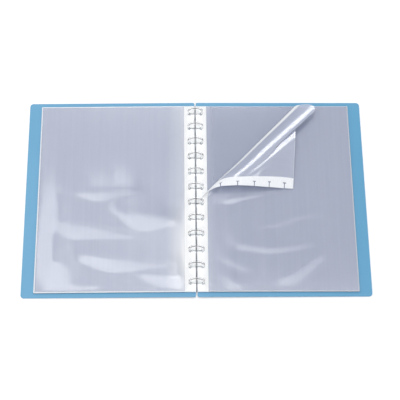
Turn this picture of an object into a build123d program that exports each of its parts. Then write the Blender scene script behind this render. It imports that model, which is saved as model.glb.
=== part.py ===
from build123d import *
from math import asin, atan2, cos, degrees, hypot, pi, radians, sin, sqrt
import os

# Clear pocket display book lying open: two covers and ten clear pockets on a row of binding discs.
# X runs towards the back cover, Y along the spine towards the pockets' mouths, Z up.
# The origin is on the table under the middle of the spine. All sizes are in millimetres.

# Paper that a pocket holds, and the room that it has there
paper_width = 210.0
paper_height = 297.0
paper_side_play = 7.0
paper_end_play = 5.5

# Pockets: two films welded along their outer and bottom edges, on a slotted binding strip
pockets_per_side = 5
film_thickness = 0.08
weld_width = 1.5
strip_width = 15.7
strip_thickness = 0.30
pocket_gap = 0.14            # air between two sheets that lie on each other
pocket_edge = 1.3            # from the spine's middle to the pockets' inner edges

# Covers
cover_thickness = 0.8
cover_side_margin = 18.5     # how far a cover reaches past the pockets at the side
cover_end_margin = 7.0       # and at each end
cover_corner_radius = 5.0
cover_inner_corner_radius = 2.0
cover_edge = 1.25            # from the spine's middle to a cover's inner edge
cover_lift = 2.3             # from the table to a cover's underside under the spine

# Binding discs, each a wide rim on a thin web
disc_count = 12
disc_end_margin = 13.4       # from a pocket's end to the middle of the first disc
disc_radius = 11.9
rim_depth = 1.3
rim_width = 4.0
web_thickness = 1.0

# T-shaped slots that snap over the rims
slot_side_play = 0.4         # on each side of a rim or a web
slot_end_play = 0.25         # before and behind a rim

# The peeled corner of the top pocket at the right
peeled_discs = 6             # discs that it is pulled off
fold_angle = 47.2            # the fold's direction, from the X axis
fold_radius = 6.0            # inside the bend
fold_tip_gap = 0.4           # between the corner's tip and the page that it lies on
bend_sections = 9

# Sizes that follow
window_width = paper_width + paper_side_play + weld_width
pocket_width = strip_width + window_width
pocket_height = paper_height + paper_end_play + weld_width
pocket_pitch = strip_thickness + pocket_gap
cover_height = pocket_height + 2 * cover_end_margin
disc_pitch = (pocket_height - 2 * disc_end_margin) / (disc_count - 1)
disc_rows = [pocket_height / 2 - disc_end_margin - i * disc_pitch for i in range(disc_count)]
rim_inner_radius = disc_radius - rim_depth
bar_width = rim_width + 2 * slot_side_play
stem_width = web_thickness + 2 * slot_side_play

# Depths below the discs' axis: the covers lie lowest, the pockets are stacked on them
cover_bottom = disc_radius - cover_lift
cover_top = cover_bottom - cover_thickness
pocket_bottoms = [cover_top - pocket_gap - i * pocket_pitch for i in range(pockets_per_side)]


def rim_crossing(bottom, top):
    """Where a disc's rim passes through a sheet between two depths, as distances from the axis' plane."""
    nearest = sqrt(rim_inner_radius ** 2 - bottom ** 2)
    farthest = sqrt(disc_radius ** 2 - top ** 2)
    return nearest, farthest


# The pockets lie flush. A higher one meets the rims further out, so its slots reach further in
crossings = [rim_crossing(bottom, bottom - strip_thickness) for bottom in pocket_bottoms]
bar_length = max(far - near for near, far in crossings) + 2 * slot_end_play
bar_middles = [(near + far) / 2 for near, far in crossings]
cover_reach = pocket_edge + pocket_width + cover_side_margin

# Each side leans outwards about the discs' axis until its cover's outer edge lies on the table
side_tilt = degrees(asin(disc_radius / hypot(cover_reach, cover_bottom)) - atan2(cover_bottom, cover_reach))


def sheet_outline(inner, outer, height):
    """Flat outline of a sheet between two distances from the spine's middle."""
    return Pos((inner + outer) / 2, 0) * Rectangle(outer - inner, height)


def round_corners(outline, radius, group):
    """Round the corners at the inner (0) or outer (-1) side of an outline."""
    return fillet(outline.vertices().group_by(Axis.X)[group], radius)


def t_slot(inner, bar_start, bar_end):
    """Slot for one disc: a stem that is open to the sheet's inner edge, and a bar across its end."""
    stem_start = inner - stem_width
    stem = Pos((stem_start + bar_end) / 2, 0) * Rectangle(bar_end - stem_start, stem_width)
    bar = Pos((bar_start + bar_end) / 2, 0) * Rectangle(bar_end - bar_start, bar_width)
    return stem + bar


def plate(outline, bottom, thickness):
    """Solid sheet whose underside lies at a depth below the discs' axis."""
    return extrude(Pos(0, 0, -bottom) * outline, amount=thickness)


def lay_right(solid):
    """Tilt a piece outwards about the discs' axis and lift it over the table, on the back cover's side."""
    return Pos(0, 0, disc_radius) * Rot(0, side_tilt, 0) * solid


def lay_left(solid):
    """The same on the front cover's side."""
    return mirror(lay_right(solid), about=Plane.YZ)


def make_disc():
    """Binding disc about the Y axis: a rim like a short tube, carried by a thin web."""
    rim = Cylinder(disc_radius, rim_width) - Cylinder(rim_inner_radius, rim_width)
    web = Cylinder(rim_inner_radius, web_thickness)
    return Rot(90, 0, 0) * (rim + web)


def make_cover():
    """Cover sheet with rounded corners and a slot for each disc."""
    outline = sheet_outline(cover_edge, cover_reach, cover_height)
    outline = round_corners(outline, cover_corner_radius, -1)
    outline = round_corners(outline, cover_inner_corner_radius, 0)
    near, far = rim_crossing(cover_bottom, cover_top)
    slot = t_slot(cover_edge, near - slot_end_play, far + slot_end_play)
    for row in disc_rows:
        outline -= Pos(0, row) * slot
    return plate(outline, cover_bottom, cover_thickness)


def pocket_slot(bar_middle):
    """Outline of a pocket's slot at the middle of the spine's length."""
    return t_slot(pocket_edge, bar_middle - bar_length / 2, bar_middle + bar_length / 2)


weld_edge = pocket_edge + strip_width
outer_edge = pocket_edge + pocket_width
strip_outline = sheet_outline(pocket_edge, weld_edge, pocket_height)
film_outline = sheet_outline(weld_edge, outer_edge, pocket_height)


def weld_bead(bottom):
    """Welded seam between a pocket's films, along the outer and bottom edges; the top is the mouth."""
    inside = sheet_outline(weld_edge, outer_edge - weld_width, pocket_height)
    seam = film_outline - Pos(0, weld_width) * inside
    return plate(seam, bottom - film_thickness, strip_thickness - 2 * film_thickness)


def make_pocket(bar_middle, bottom):
    """Flat pocket: binding strip, lower film, upper film and the seam between them."""
    outline = strip_outline
    for row in disc_rows:
        outline -= Pos(0, row) * pocket_slot(bar_middle)
    strip = plate(outline, bottom, strip_thickness)
    lower = plate(film_outline, bottom, film_thickness)
    upper = plate(film_outline, bottom - strip_thickness + film_thickness, film_thickness)
    return strip, lower, upper, weld_bead(bottom)


class Fold:
    """Fold of the peeled corner: flat page, bend of a little over half a turn, and a flap that comes down.

    The page leaves the pile along a slanted line that starts just past the slot of the first disc
    that still holds it. Distances from that line, towards the peeled corner, go round the bend.
    """

    def __init__(self, bar_middle, bottom):
        self.bottom = bottom
        self.along = Vector(cos(radians(fold_angle)), sin(radians(fold_angle)), 0)
        self.across = Vector(-self.along.Y, self.along.X, 0)
        bar_start = bar_middle - bar_length / 2
        self.start = Vector(bar_start, disc_rows[peeled_discs] + bar_width / 2, 0)
        self.radius = fold_radius + strip_thickness / 2
        self.centre = Vector(self.start.X, self.start.Y, strip_thickness - bottom + fold_radius)
        flap_reach = self.distance(pocket_edge, pocket_height / 2) - pi * self.radius
        self.turn = pi + asin((2 * fold_radius - fold_tip_gap) / flap_reach)
        self.length = self.turn * self.radius
        self.plane = Plane(origin=self.start, x_dir=self.along, z_dir=(0, 0, 1))

    def distance(self, x, y):
        """Distance of a point of the flat page past the line where the bend starts."""
        return (Vector(x, y, 0) - self.start).dot(self.across)

    def carry(self, solid, distance):
        """Take what lies flat at a distance past the line to where the fold brings it."""
        held = min(max(distance, 0), self.length)
        moved = Pos(*(self.across * -held)) * solid
        return moved.rotate(Axis(self.centre, self.along), degrees(held / self.radius))

    def on_edge_line(self, x):
        """Position along the fold where it meets a line that runs parallel to the spine."""
        return lambda distance: (x - self.start.X - distance * self.across.X) / self.along.X

    def on_end_line(self, y):
        """Position along the fold where it meets a line across the page."""
        return lambda distance: (y - self.start.Y - distance * self.across.Y) / self.along.Y

    def bend(self, first, last, low, high):
        """The bent stretch of a layer between two lines of the page, lofted through radial sections."""
        outer = fold_radius + strip_thickness - low
        inner = fold_radius + strip_thickness - high
        sections = []
        for i in range(bend_sections):
            turn = self.turn * i / (bend_sections - 1)
            begin = first(turn * self.radius)
            end = last(turn * self.radius)
            tangent = self.across * cos(turn) + Vector(0, 0, sin(turn))
            section_plane = Plane(origin=self.centre, x_dir=self.along, z_dir=tangent)
            section = Pos((begin + end) / 2, (inner + outer) / 2) * Rectangle(end - begin, outer - inner)
            sections.append(section_plane * section)
        return loft(sections)

    def sheet(self, outline, first, last, low, high):
        """A layer of the page between two heights over its underside, folded as one piece."""
        size = pocket_width + pocket_height
        page_side = self.plane * Pos(0, -size / 2) * Rectangle(2 * size, size)
        flap_side = self.plane * Pos(0, self.length + size / 2) * Rectangle(2 * size, size)
        flat = plate(outline & page_side, self.bottom - low, high - low)
        flap = plate(outline & flap_side, self.bottom - low, high - low)
        return flat + self.bend(first, last, low, high) + self.carry(flap, self.length)


def make_peeled_pocket(bar_middle, bottom):
    """The same pocket with its upper inner corner pulled off the discs and folded over."""
    fold = Fold(bar_middle, bottom)
    weld_line = fold.on_edge_line(weld_edge)
    strip = fold.sheet(strip_outline, fold.on_edge_line(pocket_edge), weld_line, 0, strip_thickness)
    cut_height = pocket_gap + strip_thickness + fold_radius / 2
    for row in disc_rows:
        cutter = Pos(0, row) * plate(pocket_slot(bar_middle), bottom + pocket_gap, cut_height)
        strip -= fold.carry(cutter, fold.distance(bar_middle, row))
    mouth = fold.on_end_line(pocket_height / 2)
    upper_low = strip_thickness - film_thickness
    lower = fold.sheet(film_outline, weld_line, mouth, 0, film_thickness)
    upper = fold.sheet(film_outline, weld_line, mouth, upper_low, strip_thickness)
    return strip, lower, upper, weld_bead(bottom)


nodes = {}

disc = make_disc()
nodes["binding_discs"] = Compound([Pos(0, row, disc_radius) * disc for row in disc_rows])

cover = make_cover()
nodes["front_cover"] = lay_left(cover)
nodes["back_cover"] = lay_right(cover)

# Pockets are numbered from the front cover. A pocket's back film carries its seam.
for level, (bar_middle, bottom) in enumerate(zip(bar_middles, pocket_bottoms)):
    left_name = f"pocket_{level + 1:02d}"
    strip, lower, upper, bead = make_pocket(bar_middle, bottom)
    nodes[left_name + "_binding_strip"] = lay_left(strip)
    nodes[left_name + "_front_film"] = lay_left(lower)
    nodes[left_name + "_back_film"] = lay_left(upper + bead)

    right_name = f"pocket_{2 * pockets_per_side - level:02d}"
    if level == pockets_per_side - 1:
        strip, lower, upper, bead = make_peeled_pocket(bar_middle, bottom)
    nodes[right_name + "_binding_strip"] = lay_right(strip)
    nodes[right_name + "_front_film"] = lay_right(upper)
    nodes[right_name + "_back_film"] = lay_right(lower + bead)

os.makedirs("parts", exist_ok=True)
for name, solid in nodes.items():
    export_step(solid, f"parts/{name}.step")
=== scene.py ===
import math

import bpy
import numpy as np
from mathutils import Matrix, Vector


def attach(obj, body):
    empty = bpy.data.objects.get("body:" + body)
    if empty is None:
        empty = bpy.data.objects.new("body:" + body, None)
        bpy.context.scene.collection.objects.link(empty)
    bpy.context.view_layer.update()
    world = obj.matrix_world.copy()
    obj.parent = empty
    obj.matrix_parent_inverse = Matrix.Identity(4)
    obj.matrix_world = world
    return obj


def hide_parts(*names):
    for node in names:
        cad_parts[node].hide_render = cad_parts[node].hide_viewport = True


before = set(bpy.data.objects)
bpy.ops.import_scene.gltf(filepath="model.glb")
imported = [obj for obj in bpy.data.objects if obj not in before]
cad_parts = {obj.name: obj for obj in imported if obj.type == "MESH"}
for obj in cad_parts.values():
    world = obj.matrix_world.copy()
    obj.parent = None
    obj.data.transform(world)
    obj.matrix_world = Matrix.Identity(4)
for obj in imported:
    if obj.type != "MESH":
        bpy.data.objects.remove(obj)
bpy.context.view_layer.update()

# Sizes of the book in millimetres, the same as in the part's source
paper_width = 210.0
paper_height = 297.0
paper_side_play = 7.0
paper_end_play = 5.5
pockets_per_side = 5
film_thickness = 0.08
weld_width = 1.5
strip_width = 15.7
strip_thickness = 0.30
pocket_gap = 0.14
pocket_edge = 1.3
cover_thickness = 0.8
cover_side_margin = 18.5
cover_lift = 2.3
disc_count = 12
disc_end_margin = 13.4
disc_radius = 11.9
rim_depth = 1.3
rim_width = 4.0
web_thickness = 1.0
slot_side_play = 0.4
slot_end_play = 0.25

window_width = paper_width + paper_side_play + weld_width
pocket_width = strip_width + window_width
pocket_height = paper_height + paper_end_play + weld_width
half_height = pocket_height / 2
pocket_pitch = strip_thickness + pocket_gap
disc_pitch = (pocket_height - 2 * disc_end_margin) / (disc_count - 1)
disc_rows = [half_height - disc_end_margin - i * disc_pitch for i in range(disc_count)]
bar_width = rim_width + 2 * slot_side_play
stem_width = web_thickness + 2 * slot_side_play
cover_bottom = disc_radius - cover_lift
cover_top = cover_bottom - cover_thickness
pocket_bottoms = [cover_top - pocket_gap - i * pocket_pitch for i in range(pockets_per_side)]


def rim_crossing(bottom):
    """Where a disc's rim passes through a strip, as distances from the axis' plane."""
    nearest = math.sqrt((disc_radius - rim_depth) ** 2 - bottom ** 2)
    farthest = math.sqrt(disc_radius ** 2 - (bottom - strip_thickness) ** 2)
    return nearest, farthest


crossings = [rim_crossing(bottom) for bottom in pocket_bottoms]
bar_length = max(far - near for near, far in crossings) + 2 * slot_end_play
bar_middles = [(near + far) / 2 for near, far in crossings]
weld_edge = pocket_edge + strip_width
outer_edge = pocket_edge + pocket_width
cover_reach = outer_edge + cover_side_margin
# Each side tilts until its cover's outer edge is down on the table
cover_edge_distance = math.hypot(cover_reach, cover_bottom)
side_tilt = math.asin(disc_radius / cover_edge_distance) - math.atan2(cover_bottom, cover_reach)

millimetre = 0.001


def place(side, u, y, depth):
    """World points, in metres, of page points: u from the spine, y along it, depth below the discs' axis."""
    x = u * math.cos(side_tilt) - depth * math.sin(side_tilt)
    z = disc_radius - u * math.sin(side_tilt) - depth * math.cos(side_tilt)
    return np.stack([side * x, y + 0 * x, z], -1) * millimetre


def between(values, share):
    """What lies between two values, a share of the way from the first to the second."""
    return values[0] + (values[1] - values[0]) * share


def portion(value, first, last):
    """How far a value has come: 0 at first, 1 at last."""
    return (value - first) / (last - first)


def smooth(share):
    """Goes from 0 to 1 without a corner, as share does."""
    share = np.clip(share, 0, 1)
    return share * share * (3 - 2 * share)


def rising(value, first, last):
    """Goes from 0 to 1 without a corner while a value goes from first to last."""
    return smooth(portion(value, first, last))


# Camera, fitted to the corners of the book in the photograph

camera_place = Vector((-0.0208, -0.7730, 1.6887))
camera_pitch = math.radians(65.518)
camera_yaw = math.radians(2.007)
camera_roll = math.radians(1.561)
camera_lens = 111.83
camera_sensor = 36


def make_camera():
    """Camera above and before the book, turned by its yaw, pitch and roll."""
    level = math.cos(camera_pitch)
    forward = Vector((math.sin(camera_yaw) * level, math.cos(camera_yaw) * level, -math.sin(camera_pitch)))
    right = Vector((math.cos(camera_yaw), -math.sin(camera_yaw), 0))
    up = right.cross(forward)
    rolled_right = math.cos(camera_roll) * right + math.sin(camera_roll) * up
    rolled_up = math.cos(camera_roll) * up - math.sin(camera_roll) * right
    data = bpy.data.cameras.new("camera")
    data.sensor_width = camera_sensor
    data.lens = camera_lens
    camera = bpy.data.objects.new("camera", data)
    turn = Matrix((rolled_right, rolled_up, -forward)).transposed()
    camera.matrix_world = Matrix.Translation(camera_place) @ turn.to_4x4()
    bpy.context.scene.collection.objects.link(camera)
    bpy.context.scene.camera = camera


# Materials

plain_white = (1, 1, 1, 1)
# Noise seldom leaves this range
noise_low = 0.3
noise_high = 0.7
# Inputs and output of a Mix node that are for colours
mix_first = 6
mix_second = 7
mix_result = 2
# Film: clearness, roughness, the shades of pages in a pile and on top of it, and grains for each millimetre.
# The pile's shades are darker than those on top: painted shade
film_alpha = 0.42
film_roughness = (0.11, 0.15)
shaded_pile_shades = ((0.445, 0.500, 0.665), (0.470, 0.525, 0.690))
top_shades = ((0.526, 0.578, 0.738), (0.554, 0.607, 0.766))
film_grains = 5
# Painted highlights, which whiten the film: their colour and clearness, the painted glint along the open
# edge, in millimetres and with a blur as a share of the page, and the painted highlight by how far film has
# gone round the half turn of a fold
highlight_colour = (0.90, 0.92, 0.95, 1)
highlight_alpha = 0.75
cut_edge_width = 1.2
cut_edge_blur = 0.001
fold_highlight_amounts = [(0.34, 0.0), (0.41, 1.0), (0.53, 1.0), (0.58, 0.0), (0.8, 0.0), (1.0, 0.12)]
# Painted highlights: width of the pale band of painted highlight beside a strip in millimetres, its
# amounts from a page's near end to its far end, and the amount of painted glint along the open edge
slight_highlights = (12.0, [(0.0, 0.15), (1.0, 0.15)], 0.3)
left_highlights = (28.0, [(0.0, 0.4), (0.1, 0.85), (0.2, 1.0), (0.32, 0.8), (0.5, 0.3), (1.0, 0.36)], 1.0)
seam_shades = ((0.80, 0.85, 0.90), (0.90, 0.93, 0.96))
# The left seam is less clear and so whiter than the right one: a painted highlight
highlit_seam_alpha = 0.8
right_seam_alpha = 0.35
# Strips: shades of the front and of the bent strip's back, and the light that a bent strip lets through
front_shades = ((0.80, 0.815, 0.835), (0.88, 0.89, 0.90))
back_shades = ((0.80, 0.83, 0.88), (0.88, 0.90, 0.94))
strip_through = (0.75, 0.76, 0.78)
cover_shades = ((0.080, 0.316, 0.535), (0.096, 0.342, 0.562))
disc_shades = ((0.95, 0.955, 0.96), (0.99, 0.99, 0.99))
disc_through = (0.92, 0.925, 0.93)


class Nodes:
    """A tree of shader nodes, and short ways to add to it."""

    def __init__(self, tree):
        self.tree = tree

    def set(self, node, values):
        """Give a node's inputs their values."""
        for socket, value in values.items():
            node.inputs[socket].default_value = value

    def add(self, kind, properties=None, **values):
        """A new node of a kind, with its properties and the values of its inputs."""
        node = self.tree.nodes.new("ShaderNode" + kind)
        for name, value in (properties or {}).items():
            setattr(node, name, value)
        self.set(node, values)
        return node

    def link(self, source, node, socket):
        """Feed one input of a node from a source."""
        self.tree.links.new(source, node.inputs[socket])

    def combine(self, operation, first, second):
        """Two values put together by a Math node."""
        node = self.add("Math", {"operation": operation})
        self.link(first, node, 0)
        self.link(second, node, 1)
        return node.outputs[0]

    def choose(self, choice, first, second):
        """The first shader where the choice is 0 and the second where it is 1."""
        node = self.add("MixShader")
        self.link(choice, node, 0)
        self.link(first.outputs[0], node, 1)
        self.link(second.outputs[0], node, 2)
        return node.outputs[0]

    def seen(self):
        """1 for rays from the camera and from shiny or clear pieces, 0 for the light on the book."""
        rays = self.add("LightPath").outputs
        plain_or_shiny = self.combine("MAXIMUM", rays["Is Camera Ray"], rays["Is Glossy Ray"])
        return self.combine("MAXIMUM", plain_or_shiny, rays["Is Transmission Ray"])


class Shader(Nodes):
    """A material with a principled surface, and what its textures are made of."""

    def __init__(self, name, **values):
        self.material = bpy.data.materials.new(name)
        self.material.use_nodes = True
        super().__init__(self.material.node_tree)
        self.surface = self.tree.nodes["Principled BSDF"]
        self.output = self.tree.nodes["Material Output"]
        self.set(self.surface, values)

    def vary(self, socket, source):
        """Let a value of the surface differ from place to place."""
        self.link(source, self.surface, socket)

    def sheet_place(self):
        """Place on the flat page, from 0 to 1 across it and along it."""
        return self.add("UVMap", {"uv_map": "sheet"}).outputs["UV"]

    def object_place(self):
        """Place in the piece's own frame, in metres."""
        return self.add("TexCoord").outputs["Object"]

    def noise(self, spot, scale, detail=2.0, roughness=0.5):
        """Noise with a scale for each direction, in repeats for each unit of the place."""
        mapping = self.add("Mapping", None, Scale=scale)
        self.link(spot, mapping, "Vector")
        node = self.add("TexNoise", None, Scale=1.0, Detail=detail, Roughness=roughness)
        self.link(mapping.outputs["Vector"], node, "Vector")
        return node.outputs["Fac"]

    def even_noise(self, scale, detail=2.0, roughness=0.5):
        """Noise with as many repeats for each metre in all directions of the piece."""
        return self.noise(self.object_place(), (scale, scale, scale), detail, roughness)

    def ramp(self, source, stops):
        """Colours between stops of (position, colour)."""
        node = self.add("ValToRGB")
        elements = node.color_ramp.elements
        while len(elements) < len(stops):
            elements.new(0.5)
        for element, (position, colour) in zip(elements, stops):
            element.position = position
            element.color = (*colour, 1.0)
        self.link(source, node, "Fac")
        return node.outputs["Color"]

    def grey_ramp(self, source, stops):
        """Values between stops of (position, value)."""
        return self.ramp(source, [(position, (value, value, value)) for position, value in stops])

    def shades(self, source, pair, low=noise_low, high=noise_high):
        """A colour between two shades, by a noise."""
        return self.ramp(source, [(low, pair[0]), (high, pair[1])])

    def fade(self, source, first, last, low, high):
        """A value that goes from low to high while the source goes from first to last."""
        node = self.add("MapRange")
        self.set(node, {"From Min": first, "From Max": last, "To Min": low, "To Max": high})
        self.link(source, node, "Value")
        return node.outputs["Result"]

    def span(self, source, low, high):
        """A value between low and high, by a noise."""
        return self.fade(source, noise_low, noise_high, low, high)

    def painted_highlight_share(self, width, amounts, cut_amount):
        """How much painted highlight whitens a film: beside its strip, along its open edge and where it is
        folded.
        """
        parts = self.add("SeparateXYZ")
        self.link(self.sheet_place(), parts, "Vector")
        weld = strip_width / pocket_width
        near_weld = self.fade(parts.outputs["X"], weld, weld + width / pocket_width, 1, 0)
        by_weld = self.combine("MULTIPLY", near_weld, self.grey_ramp(parts.outputs["Y"], amounts))
        cut = 1 - cut_edge_width / pocket_height
        by_edge = self.fade(parts.outputs["Y"], cut, cut + cut_edge_blur, 0, cut_amount)
        bend = self.add("Attribute", {"attribute_name": "bend"})
        by_bend = self.grey_ramp(bend.outputs["Fac"], fold_highlight_amounts)
        return self.combine("MAXIMUM", self.combine("MAXIMUM", by_weld, by_edge), by_bend)

    def let_light_through(self, colour):
        """Let light from lamps go through the surface, tinted by a colour, as clear or thin plastic does."""
        clear = self.add("BsdfTransparent", None, Color=(*colour, 1))
        from_lamp = self.add("LightPath").outputs["Is Shadow Ray"]
        self.link(self.choose(from_lamp, self.surface, clear), self.output, "Surface")

    def bump(self, height, strength, distance, before=None):
        """A bumpy normal. Bumps that come before are kept under it."""
        node = self.add("Bump", None, Strength=strength, Distance=distance)
        self.link(height, node, "Height")
        if before is not None:
            self.link(before, node, "Normal")
        return node.outputs["Normal"]


def film_material(name, shades, highlights):
    """Clear hazy grey film with fine lines along the pages, glossy, seen through, with painted highlights."""
    shader = Shader(name, **{"IOR": 1.7, "Specular IOR Level": 1.0})
    lines = shader.noise(shader.sheet_place(), (45.0, 1.2, 1), detail=4.0, roughness=0.65)
    grain_scale = (window_width * film_grains, pocket_height * film_grains, 1)
    grain = shader.noise(shader.sheet_place(), grain_scale, detail=1.0)
    # Painted highlights beside the strip, along the open edge and on the fold whiten the film and make it
    # less clear
    white = shader.painted_highlight_share(*highlights)
    colour = shader.add("Mix", {"data_type": "RGBA"})
    shader.link(white, colour, 0)
    shader.link(shader.shades(lines, shades, low=0.35, high=0.65), colour, mix_first)
    colour.inputs[mix_second].default_value = highlight_colour
    shader.vary("Base Color", colour.outputs[mix_result])
    shader.vary("Alpha", shader.fade(white, 0, 1, film_alpha, highlight_alpha))
    shader.vary("Roughness", shader.span(lines, *film_roughness))
    fine = shader.bump(grain, strength=0.04, distance=0.0001)
    shader.vary("Normal", shader.bump(lines, strength=0.10, distance=0.0002, before=fine))
    return shader.material


def seam_material(name, alpha):
    """Welded seam: the films melted together, paler and less clear, with fine ribs across it."""
    shader = Shader(name, **{"Roughness": 0.3, "Alpha": alpha})
    ribs = shader.noise(shader.object_place(), (700, 700, 20), detail=1.0)
    shader.vary("Base Color", shader.shades(ribs, seam_shades))
    shader.vary("Normal", shader.bump(ribs, strength=0.4, distance=0.0002))
    return shader.material


def strip_material(name, shades, through=None):
    """White plastic strip with a satin surface and faint drawing lines along it.

    A free strip lets light through.
    """
    shader = Shader(name, **{"Specular IOR Level": 0.4})
    lines = shader.noise(shader.object_place(), (1500, 25, 1500))
    grain = shader.even_noise(4000)
    shader.vary("Base Color", shader.shades(lines, shades))
    shader.vary("Roughness", shader.span(grain, 0.38, 0.52))
    fine = shader.bump(grain, strength=0.12, distance=0.0001)
    shader.vary("Normal", shader.bump(lines, strength=0.15, distance=0.0001, before=fine))
    if through is not None:
        shader.let_light_through(through)
    return shader.material


def cover_material():
    """Blue polypropylene sheet: slightly uneven colour, fine matt grain and a soft gloss."""
    shader = Shader("cover", **{"Specular IOR Level": 0.5})
    clouds = shader.even_noise(9, detail=3.0)
    grain = shader.even_noise(3000, roughness=0.6)
    pores = shader.even_noise(600)
    shader.vary("Base Color", shader.shades(clouds, cover_shades))
    shader.vary("Roughness", shader.span(grain, 0.34, 0.48))
    fine = shader.bump(grain, strength=0.2, distance=0.0001)
    shader.vary("Normal", shader.bump(pores, strength=0.1, distance=0.0002, before=fine))
    return shader.material


def disc_material():
    """Clear moulded plastic, a little milky, with faint flow marks. Light from lamps goes through it."""
    shader = Shader("disc", **{"IOR": 1.20, "Transmission Weight": 0.95})
    flow = shader.noise(shader.object_place(), (300, 900, 300))
    shader.vary("Base Color", shader.shades(flow, disc_shades))
    shader.vary("Roughness", shader.span(flow, 0.03, 0.08))
    shader.vary("Normal", shader.bump(flow, strength=0.15, distance=0.0002))
    shader.let_light_through(disc_through)
    return shader.material


# Meshes

def new_piece(name, points, faces, material, uv=None, rounded=True):
    """A mesh object in the scene. Its faces are shaded as one round surface or as flat ones."""
    mesh = bpy.data.meshes.new(name)
    mesh.from_pydata([tuple(p) for p in points], [], [tuple(f) for f in faces])
    if uv is not None:
        layer = mesh.uv_layers.new(name="sheet")
        corners = np.zeros(len(mesh.loops), np.int32)
        mesh.loops.foreach_get("vertex_index", corners)
        layer.data.foreach_set("uv", np.asarray(uv, np.float32)[corners].ravel())
    mesh.polygons.foreach_set("use_smooth", [rounded] * len(mesh.polygons))
    mesh.materials.append(material)
    mesh.update()
    piece = bpy.data.objects.new(name, mesh)
    bpy.context.scene.collection.objects.link(piece)
    return piece


def grid_faces(across, along, turned):
    """Quads of a grid of points, listed row by row."""
    faces = []
    for j in range(along - 1):
        for i in range(across - 1):
            first = j * across + i
            face = (first, first + 1, first + across + 1, first + across)
            faces.append(face[::-1] if turned else face)
    return faces


def lines_between(first, last, step):
    """Even grid lines from first to last, about a step apart."""
    return np.linspace(first, last, max(2, int(round(abs(last - first) / step)) + 1))


def lines_through(marks, step):
    """Grid lines about a step apart, with a line on each mark."""
    marks = sorted(marks)
    stretches = [lines_between(a, b, step)[:-1] for a, b in zip(marks, marks[1:])]
    return np.append(np.concatenate(stretches), marks[-1])


# Wrinkles of the top films. Each is a row of places: the distance from the spine, the far and the
# near edge of the part that leans towards the reader, in millimetres, and its lean in degrees
left_wrinkles = [
    [(90, 11, 6, 5.2), (108, 11, -1, 5.6), (131, 11, -8, 5.8), (155, 11, -10, 6.2), (176, 11, -2, 6.2),
     (197, 10, 6, 6.0)],
    [(30, -38, -48, 4.4), (46, -34, -53, 4.8), (68, -29, -57, 5.0), (90, -26, -59, 5.0), (105, -23, -51, 5.4),
     (120, -20, -37, 5.8), (135, -19, -20, 6.0)],
    [(83, -63, -69, 3.6), (100, -58, -70, 4.0), (127, -51, -70, 4.2), (156, -44, -70, 4.4),
     (179, -41, -71, 4.4), (198, -37, -67, 4.4), (211, -34, -56, 4.2)],
    [(36, -104, -113, 2.4), (60, -102, -117, 2.6), (90, -100, -120, 2.9), (119, -97, -122, 3.4),
     (140, -95, -119, 4.2), (155, -92, -111, 4.6), (167, -90, -106, 4.6)],
    [(20, -126, -146, 4.2), (31, -124, -146, 3.8), (53, -123, -143, 3.2), (75, -121, -136, 2.8),
     (89, -121, -127, 2.6)],
    [(185, -111, -146, 2.4), (196, -104, -146, 2.9), (213, -99, -146, 3.2), (233, -98, -146, 3.2)],
    [(197, -136, -143, 7.0), (201, -136, -143, 7.0)],
    [(173, -141, -146, 6.0), (177, -141, -146, 6.0)],
    [(149, -141, -146, 6.0), (152, -141, -146, 6.0)],
]
right_wrinkles = [
    [(24, -4, -10, 6.0), (33, -1, -13, 6.2), (54, -1, -14, 6.2), (73, 1, -7, 6.2), (96, 5, -2, 6.2),
     (118, 9, 5, 6.0)],
    [(97, -49, -54, 3.6), (124, -40, -51, 3.8), (154, -30, -40, 3.8), (184, -25, -33, 3.6)],
    [(58, -71, -87, 2.7), (79, -78, -90, 2.6), (108, -81, -94, 2.5), (140, -78, -89, 2.5),
     (170, -73, -83, 2.4)],
    [(129, -130, -142, 2.7), (141, -123, -139, 2.7), (153, -114, -131, 2.7), (168, -102, -119, 2.7),
     (181, -89, -106, 2.8)],
    [(39, -95, -106, 2.1), (52, -101, -114, 2.0), (69, -112, -122, 1.9)],
    [(40, -128, -133, 3.0), (48, -133, -146, 3.0), (57, -140, -148, 2.8)],
]
# Height of the swell along the left page's outer margin, by place along the page, and the distances
# from the spine between which it comes in
left_swell = [(-150, 0.0), (-110, 0.5), (-85, 1.1), (-40, 1.2), (0, 0.7), (60, 0.3), (110, 0.0)]
swell_range = (150.0, 210.0)
# Distances over which a leaning part begins and ends, at its far and near edges and past its row's ends
far_softness = 12.0
near_softness = 5.0
end_softness = 12.0
# Lean in degrees with which a film settles behind a wrinkle, and the height under which it does so less
settle_lean = 3.7
settle_height = 1.2
smoothing_passes = 14
# Distances over which wrinkles fade out towards the strip, the seam and the fold
strip_fade = 12.0
seam_fade = 26.0
fold_fade = 26.0


def wrinkle_lean(u, y, points):
    """How much a wrinkle leans, in degrees, and how far a place is inside of its leaning part."""
    at, far, near, lean = np.array(points, float).T
    behind = smooth((np.interp(u, at, far) - y) / far_softness + 0.5)
    before = smooth((y - np.interp(u, at, near)) / near_softness + 0.5)
    beyond = np.maximum(at[0] - u, u - at[-1])
    inside = behind * before * smooth(1 - beyond / end_softness)
    return inside * np.interp(u, at, lean), inside


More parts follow.
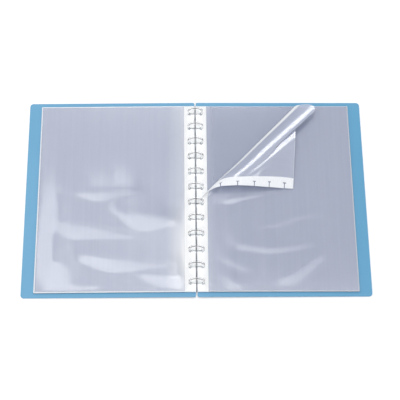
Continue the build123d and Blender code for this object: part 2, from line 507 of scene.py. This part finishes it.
def wrinkle_lift(across, along, wrinkles, swell):
    """Height of a wrinkled film over a grid: it rises over the leaning parts and settles behind them."""
    u, y = np.meshgrid(across, along)
    lean = np.zeros(u.shape)
    free = np.ones(u.shape)
    for points in wrinkles:
        part, inside = wrinkle_lean(u, y, points)
        lean = np.maximum(lean, part)
        free = free * (1 - inside)
    height = np.zeros(u.shape)
    step = along[1] - along[0]
    for j in range(1, len(along)):
        rise = np.tan(np.radians(lean[j]))
        fall = free[j] * np.tan(np.radians(settle_lean)) * np.tanh(height[j - 1] / settle_height)
        height[j] = height[j - 1] + step * (rise - fall)
    for _ in range(smoothing_passes):
        height[:, 1:-1] = (height[:, :-2] + 2 * height[:, 1:-1] + height[:, 2:]) / 4
    if swell:
        places, heights = zip(*swell)
        height = height + np.interp(y, places, heights) * rising(u, *swell_range)
    from_strip = smooth((u - weld_edge) / strip_fade)
    from_seam = smooth((outer_edge - weld_width - u) / seam_fade)
    return (height * from_strip * from_seam).ravel()


class PeeledCorner:
    """Carries the flat top pocket of the right side to where its peeled corner lies.

    A point is given by its place along the fold and its distance past the line where the page
    leaves the pile. The page goes round a low arch, drops from its top and goes on as a flap
    that slopes down to its tip. Towards the page's end the arch's top is drawn out along the fold.
    Lengths are in millimetres, and a range gives the two places between which something comes in.
    """

    # The fold: where it starts on the page, its direction and its length
    start = np.array([20.0, -2.10])
    direction = math.radians(46.32)
    length = 215.0
    # How far the arch stands out past the fold and half its height, at the fold's two ends, and
    # how far, in shares of the fold's length, they go on changing past those ends
    arch_widths = (11.3, 14.5)
    arch_rises = (6.2, 7.2)
    change_limits = (-0.2, 1.1)
    # Share by which the arch is lower near the page's end
    flat_end = 0.05
    flat_range = (150.0, 195.0)
    # How far the arch's top ends past its foot
    overhangs = (11.5, 16.0)
    overhang_range = (25.0, 80.0)
    # Height of the flap's tip, and how the flap slopes down to it
    tip_height = 0.5
    slope_power = 1.5
    slope_limit = 1.2
    # Where the flap lies in plan: that of the page's origin, and steps for each step on the page
    flap_origin = np.array([-0.8998, 7.2926])
    flap_across = np.array([0.0232, 0.9753])
    flap_along = np.array([0.9988, 0.0223])
    # How far the arch's top is drawn out, by place along the fold and by share of the half turn
    drawn_out = np.array([30.0, 25.0])
    drawn_range = (60.0, 175.0)
    drawn_turns = (0.25, 1.0)
    # Drop behind the drawn-out top, and how far past it the flap drops and settles
    drop = 4.8
    drop_run = 15.0
    settle_run = 60.0
    # How far the flap's tip is drawn in, by place along the page, and how wide a part of the page
    tip_draw = 5.5
    tip_range = (80.0, 140.0)
    tip_width = 90.0
    # Shift of the flap's near edge, and its return in times that shift, by place along the page
    edge_shift = 1.2
    shift_range = (20.0, 40.0)
    edge_return = 1.6
    return_range = (60.0, 140.0)
    # Lift of the flap's near edge, the part of the page where it ends, and where past the arch it is full
    edge_lift = 1.0
    lift_end_range = (60.0, 130.0)
    lift_run = 10.0
    # Crease beside the arch: distances past the fold and widths at the ends of a range along the fold,
    # and the shares of that range past which they no longer change
    crease_places = (61.0, 71.0)
    crease_widths = (6.0, 9.0)
    crease_range = (60.0, 130.0)
    crease_limits = (-0.6, 1.3)
    # The crease's height, the shares of the range between which it grows, how many times as wide its
    # far side is, and where past the arch it is full
    crease_height = 3.2
    crease_growth = (-0.5, 1.0)
    crease_far_side = 1.8
    crease_run = 8.0
    # Step by which the slope of the surface is measured
    slope_step = 0.05

    def __init__(self):
        self.along = np.array([math.cos(self.direction), math.sin(self.direction)])
        self.across = np.array([-math.sin(self.direction), math.cos(self.direction)])
        position, distance = self.fold_place(np.array([[pocket_edge, half_height]]))
        self.reach = (distance - self.arch_length(position))[0]

    def fold_place(self, page):
        """Places of page points along the fold, and their distances past it."""
        offset = page - self.start
        return offset @ self.along, offset @ self.across

    def edge_nearness(self, u):
        """1 at the page's edge at the spine, 0 past its strip."""
        return np.clip((weld_edge - u) / strip_width, 0, 1)

    def flap_plan(self, page):
        """Where page points lie in plan when they are on the flap."""
        u, y = page[:, 0], page[:, 1]
        draw = self.tip_draw * rising(y, *self.tip_range) * np.clip(1 - u / self.tip_width, 0, 1)
        back = self.edge_return * rising(y, *self.return_range)
        shift = self.edge_shift * self.edge_nearness(u) * (rising(y, *self.shift_range) - back)
        plan = self.flap_origin + page[:, :1] * self.flap_across + page[:, 1:] * self.flap_along
        return plan + np.stack([-draw, shift], -1)

    def flap_lift(self, page, position, distance, past):
        """Height of the flap's lifted near edge and of the crease beside the arch."""
        edge = self.edge_lift * self.edge_nearness(page[:, 0])
        edge = edge * (1 - rising(page[:, 1], *self.lift_end_range)) * smooth(past / self.lift_run)
        share = np.clip(portion(position, *self.crease_range), *self.crease_limits)
        middle = between(self.crease_places, share)
        width = between(self.crease_widths, share)
        across = (distance - middle) / np.where(distance > middle, self.crease_far_side * width, width)
        grown = np.clip(portion(share, *self.crease_growth), 0, 1)
        crease = self.crease_height * grown * np.exp(-across ** 2)
        return edge + crease * smooth(past / self.crease_run)

    def by_fold(self, values, position):
        """A value that changes from the fold's first end to its second."""
        return between(values, np.clip(position / self.length, *self.change_limits))

    def arch_length(self, position):
        """How much of the page goes into the arch, so that its top ends a little past its foot."""
        foot = self.start + np.outer(position, self.along)
        step = self.across[0] * self.flap_across + self.across[1] * self.flap_along
        gap = (foot - self.flap_plan(foot)) @ self.across
        overhang = between(self.overhangs, rising(position, *self.overhang_range))
        return (gap - overhang) / (step @ self.across)

    def arch_turn(self, position, distance):
        """How far points have gone round the arch, as an angle."""
        length = self.arch_length(position)
        share = np.clip(distance / length, 0, 1)
        pace = length / (math.pi * self.by_fold(self.arch_widths, position))
        return math.pi * (share + (pace - 1) * share * (1 - share) * (1 - 2 * share))

    def carry(self, u, y):
        """Plan and height over the page of points that lie at u and y on the flat page."""
        page = np.stack([u, y], -1)
        position, distance = self.fold_place(page)
        length = self.arch_length(position)
        width = self.by_fold(self.arch_widths, position)
        lowered = 1 - self.flat_end * rising(position, *self.flat_range)
        rise = self.by_fold(self.arch_rises, position) * lowered
        drawn = rising(position, *self.drawn_range)
        turn = self.arch_turn(position, distance)
        foot = self.start + np.outer(position, self.along)
        head = self.flap_plan(foot + length[:, None] * self.across)
        slide = ((1 - np.cos(turn)) / 2)[:, None]
        stretch = (drawn * rising(turn / math.pi, *self.drawn_turns))[:, None]
        arch = foot + (head - foot) * slide + (width * np.sin(turn))[:, None] * self.across
        arch = arch + stretch * self.drawn_out
        past = np.maximum(distance - length, 0)
        fallen = smooth(past / self.drop_run)
        settled = np.clip(past / self.settle_run, 0, 1)
        left_over = np.stack([(1 - fallen) * drawn, (1 - settled) * drawn], -1)
        flap = self.flap_plan(page) + left_over * self.drawn_out
        on_page = (distance <= 0)[:, None]
        on_flap = (distance >= length)[:, None]
        plan = np.where(on_page, page, np.where(on_flap, flap, arch))
        top = 2 * rise - self.drop * drawn
        slope = np.clip(past / self.reach, 0, self.slope_limit) ** self.slope_power
        height = rise * (1 - np.cos(turn)) - self.drop * drawn * fallen - (top - self.tip_height) * slope
        height = height + self.flap_lift(page, position, distance, past)
        return plan[:, 0], plan[:, 1], height

    def points(self, side, u, y, top, under):
        """World points of the pocket's upper face, or of a layer that lies some depth under it."""
        step = self.slope_step

        def surface(u, y):
            over_u, over_y, height = self.carry(u, y)
            return place(side, over_u, over_y, top - height)

        middle = surface(u, y)
        by_u = surface(u + step, y) - surface(u - step, y)
        by_y = surface(u, y + step) - surface(u, y - step)
        normal = np.cross(by_u, by_y)
        normal /= np.linalg.norm(normal, axis=1)[:, None]
        return middle - normal * under[:, None] * millimetre


# Pieces

materials = {}
# Grid steps of films on top of a pile and in it, the height of their slight waves, and how long these
# are across and along the page, for each radian of a wave
top_step = 2.2
pile_step = 6.0
top_waves = 0.08
pile_waves = 0.06
wave_across = 17.0
wave_along = 23.0
# How far a welded seam stands over the upper face of its pocket
seam_cover = 0.1
# The peeled pocket is off some discs, and the slots that are free keep a share of their size
peeled_discs = 6
free_bar_share = 0.45
free_stem_share = 0.7
strip_step_across = 1.0
strip_step_along = 1.2
strip_sharp_angle = math.radians(50)


def film_piece(name, side, level, under, step, wrinkles, wave_height, corner, material):
    """One film of a pocket as a thin sheet. Its depth is given under the pocket's upper face."""
    top = pocket_bottoms[level] - strip_thickness
    across = lines_between(weld_edge, outer_edge, step)
    along = lines_between(-half_height, half_height, step)
    u, y = (grid.ravel() for grid in np.meshgrid(across, along))
    swell = left_swell if side < 0 else ()
    height = wrinkle_lift(across, along, wrinkles, swell) if wrinkles else np.zeros(len(u))
    waves = np.sin(u / wave_across + level) * np.sin(y / wave_along + 2 * level + side)
    height = height + wave_height * (1 + waves) / 2
    if corner is None:
        points = place(side, u, y, top + under - height)
    else:
        position, past_fold = corner.fold_place(np.stack([u, y], -1))
        height = height * (1 - smooth(past_fold / fold_fade + 1))
        points = corner.points(side, u, y, top, under - height)
    uv = np.stack([(u - pocket_edge) / pocket_width, (y + half_height) / pocket_height], -1)
    faces = grid_faces(len(across), len(along), side < 0)
    piece = new_piece(name, points, faces, materials[material], uv)
    if corner is not None:
        bend = piece.data.attributes.new("bend", "FLOAT", "POINT")
        bend.data.foreach_set("value", corner.arch_turn(position, past_fold) / math.pi)
    return piece


def seam_piece(name, side, level):
    """Welded seam of a pocket along its outer and bottom edges: a thin ribbed band."""
    bottom = pocket_bottoms[level]
    low = bottom - film_thickness
    high = bottom - strip_thickness - seam_cover
    inner_edge = outer_edge - weld_width
    inner_end = weld_width - half_height
    outline = [
        (weld_edge, -half_height), (outer_edge, -half_height), (outer_edge, half_height),
        (inner_edge, half_height), (inner_edge, inner_end), (weld_edge, inner_end),
    ]
    count = len(outline)
    u = np.array([p[0] for p in outline] * 2)
    y = np.array([p[1] for p in outline] * 2)
    depth = np.array([low] * count + [high] * count)
    points = place(side, u, y, depth)
    quads = [(0, 1, 4, 5), (1, 2, 3, 4)]
    faces = [quad[::-1] for quad in quads]
    faces += [tuple(count + i for i in quad) for quad in quads]
    for i in range(count):
        j = (i + 1) % count
        faces.append((i, j, count + j, count + i))
    if side < 0:
        faces = [face[::-1] for face in faces]
    material = materials["left_seam" if side < 0 else "right_seam"]
    return new_piece(name, points, faces, material, rounded=False)


def slot_size(row):
    """Length and width of a slot's bar and width of its stem. Slots that are off their discs close up."""
    if row < disc_rows[peeled_discs - 1]:
        return bar_length, bar_width, stem_width
    return bar_length * free_bar_share, bar_width, stem_width * free_stem_share


def strip_lines(bar_middle):
    """Grid lines of a binding strip, with lines on all the edges of its slots."""
    across_marks = [pocket_edge, weld_edge]
    along_marks = [-half_height, half_height]
    for length in {slot_size(row)[0] for row in disc_rows}:
        across_marks += [bar_middle - length / 2, bar_middle + length / 2]
    for row in disc_rows:
        for width in slot_size(row)[1:]:
            along_marks += [row - width / 2, row + width / 2]
    return lines_through(across_marks, strip_step_across), lines_through(along_marks, strip_step_along)


def in_slot(u, y, bar_middle):
    """Whether a point of a strip is in one of its T-shaped slots."""
    for row in disc_rows:
        length, width, stem = slot_size(row)
        if abs(y - row) < stem / 2 and u < bar_middle + length / 2:
            return True
        if abs(y - row) < width / 2 and abs(u - bar_middle) < length / 2:
            return True
    return False


def open_sides(faces):
    """Edges that belong to one face alone, in that face's direction."""
    sides = {}
    for face in faces:
        for i, j in zip(face, face[1:] + face[:1]):
            if (j, i) in sides:
                del sides[(j, i)]
            else:
                sides[(i, j)] = True
    return list(sides)


def peeled_strip_piece(name, side, level, corner):
    """Binding strip of the peeled pocket, bent over with its slots."""
    bar_middle = bar_middles[level]
    top = pocket_bottoms[level] - strip_thickness
    across, along = strip_lines(bar_middle)
    u, y = (grid.ravel() for grid in np.meshgrid(across, along))
    flat = np.zeros(len(u))
    upper = corner.points(side, u, y, top, flat)
    lower = corner.points(side, u, y, top, flat + strip_thickness)
    kept = []
    for face in grid_faces(len(across), len(along), side < 0):
        if not in_slot(u[list(face)].mean(), y[list(face)].mean(), bar_middle):
            kept.append(face)
    count = len(u)
    faces = kept + [tuple(count + i for i in face[::-1]) for face in kept]
    faces += [(j, i, count + i, count + j) for i, j in open_sides(kept)]
    used = sorted({i for face in faces for i in face})
    renumbered = {old: new for new, old in enumerate(used)}
    faces = [tuple(renumbered[i] for i in face) for face in faces]
    points = np.concatenate([upper, lower])[used]
    piece = new_piece(name, points, faces, materials["free_strip"])
    piece.data.materials.append(materials["strip_back"])
    for polygon in piece.data.polygons[len(kept):2 * len(kept)]:
        polygon.material_index = 1
    piece.data.set_sharp_from_angle(angle=strip_sharp_angle)
    return piece


def dress(node, material):
    """Give a CAD node that stays in view its material."""
    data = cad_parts[node].data
    data.materials.clear()
    data.materials.append(material)


def dress_pocket(number):
    """Put a pocket's films, seam and strip over its CAD nodes."""
    name = f"pocket_{number:02d}"
    left = number <= pockets_per_side
    side = -1 if left else 1
    level = number - 1 if left else 2 * pockets_per_side - number
    on_top = level == pockets_per_side - 1
    corner = PeeledCorner() if on_top and not left else None
    upper_kind, lower_kind = ("back_film", "front_film") if left else ("front_film", "back_film")
    middle = film_thickness / 2
    if on_top:
        step, waves = top_step, top_waves
        wrinkles = left_wrinkles if left else right_wrinkles
        material = "left_top_film" if left else "right_top_film"
    else:
        step, waves = pile_step, pile_waves
        wrinkles = ()
        # The pile's film has darker shades than the top film: painted shade
        material = "film"
    lower_wrinkles = wrinkles if left else ()
    upper = film_piece(f"{name}_{upper_kind}_sheet", side, level, middle, step,
                       wrinkles=wrinkles, wave_height=waves, corner=corner, material=material)
    lower = film_piece(f"{name}_{lower_kind}_sheet", side, level, strip_thickness - middle, step,
                       wrinkles=lower_wrinkles, wave_height=0.0, corner=corner, material=material)
    seam = seam_piece(f"{name}_seam", side, level)
    for piece, kind in ((upper, upper_kind), (lower, lower_kind)):
        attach(piece, name)
        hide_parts(f"{name}_{kind}")
    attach(seam, name)
    if corner is None:
        dress(f"{name}_binding_strip", materials["strip"])
    else:
        strip = peeled_strip_piece(f"{name}_binding_strip_bent", side, level, corner)
        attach(strip, name)
        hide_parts(f"{name}_binding_strip")


# Floor, light and background, in metres

floor_reach = 4.0
floor_height = -0.0003
floor_colour = (0.93, 0.93, 0.93, 1)
floor_finish = {"Roughness": 0.9, "Specular IOR Level": 0.0}
floor_glow = 0.14
# Part of the floor under the spine, darker: a painted shadow
under_half_width = 0.0022
under_half_length = 0.151
painted_shadow_colour = (0.55, 0.55, 0.58, 1)
world_light = 0.76
# Soft lights over the book: name, middle, size, radiance, and whether they are only seen in shiny surfaces
lamp_height = 1.9
softboxes = [
    ("left_softbox", (-0.30, 0.85), (0.64, 0.80), 0.7, False),
    ("far_left_softbox", (-1.06, 0.80), (0.88, 0.90), 3.2, True),
    ("left_low_softbox", (-0.25, 0.75), (0.44, 0.14), 5.5, True),
    ("spine_softbox", (-0.05, 0.68), (0.11, 0.26), 9.0, True),
    ("top_softbox", (-0.28, 0.16), (1.25, 0.72), 3.8, False),
    ("right_softbox", (0.575, 0.16), (0.46, 0.72), 2.4, True),
    ("back_softbox", (-0.05, 1.635), (0.80, 0.73), 7.0, True),
]


def floor_material():
    """Pale floor that looks white to the camera and in shiny or clear pieces."""
    shader = Shader("floor", **floor_finish, **{"Base Color": floor_colour, "Emission Color": plain_white})
    shader.vary("Emission Strength", shader.fade(shader.seen(), 0, 1, 0, floor_glow))
    return shader.material


def floor_corners(half_width, half_length):
    """Corners of a rectangle on the floor, round it in order."""
    signs = ((-1, -1), (1, -1), (1, 1), (-1, 1))
    return [(x * half_width, y * half_length, floor_height) for x, y in signs]


def make_floor():
    """Floor around the book, and a narrow darker part under its spine that is a painted shadow."""
    outer = floor_corners(floor_reach, floor_reach)
    inner = floor_corners(under_half_width, under_half_length)
    ring = [(i, (i + 1) % 4, 4 + (i + 1) % 4, 4 + i) for i in range(4)]
    # The darker part under the spine is a painted shadow
    under = Shader("floor_painted_shadow", **floor_finish, **{"Base Color": painted_shadow_colour}).material
    new_piece("floor", outer + inner, ring, floor_material(), rounded=False)
    new_piece("floor_painted_shadow", inner, [(0, 1, 2, 3)], under, rounded=False)


def make_world():
    """Even light from all sides. The camera and shiny or clear pieces see plain white."""
    world = bpy.data.worlds.new("world")
    world.use_nodes = True
    bpy.context.scene.world = world
    nodes = Nodes(world.node_tree)
    nodes.tree.nodes.clear()
    light = nodes.add("Background", None, Color=plain_white, Strength=world_light)
    backdrop = nodes.add("Background", None, Color=plain_white, Strength=1.0)
    output = nodes.add("OutputWorld")
    nodes.link(nodes.choose(nodes.seen(), light, backdrop), output, "Surface")


def make_softbox(name, middle, size, radiance, only_shine):
    """A level soft light that faces down, of even radiance."""
    data = bpy.data.lights.new(name, "AREA")
    data.shape = "RECTANGLE"
    data.size, data.size_y = size
    data.energy = radiance * math.pi * size[0] * size[1]
    lamp = bpy.data.objects.new(name, data)
    lamp.location = (*middle, lamp_height)
    lamp.visible_diffuse = not only_shine
    bpy.context.scene.collection.objects.link(lamp)


# The scene

make_camera()
make_world()
make_floor()
for softbox in softboxes:
    make_softbox(*softbox)

# Films in the pile get darker shades than the top films: painted shade
materials["film"] = film_material("film", shaded_pile_shades, slight_highlights)
# The left page's top film has stronger painted highlights than the other films
materials["left_top_film"] = film_material("left_top_film", top_shades, left_highlights)
materials["right_top_film"] = film_material("right_top_film", top_shades, slight_highlights)
# The left seam is whiter than the right one: a painted highlight
materials["left_seam"] = seam_material("left_seam", highlit_seam_alpha)
materials["right_seam"] = seam_material("right_seam", right_seam_alpha)
materials["strip"] = strip_material("strip", front_shades)
materials["free_strip"] = strip_material("free_strip", front_shades, strip_through)
materials["strip_back"] = strip_material("strip_back", back_shades, strip_through)
materials["cover"] = cover_material()
materials["disc"] = disc_material()

dress("front_cover", materials["cover"])
dress("back_cover", materials["cover"])
dress("binding_discs", materials["disc"])
for number in range(1, 2 * pockets_per_side + 1):
    dress_pocket(number)

bpy.context.scene.view_settings.view_transform = "Standard"
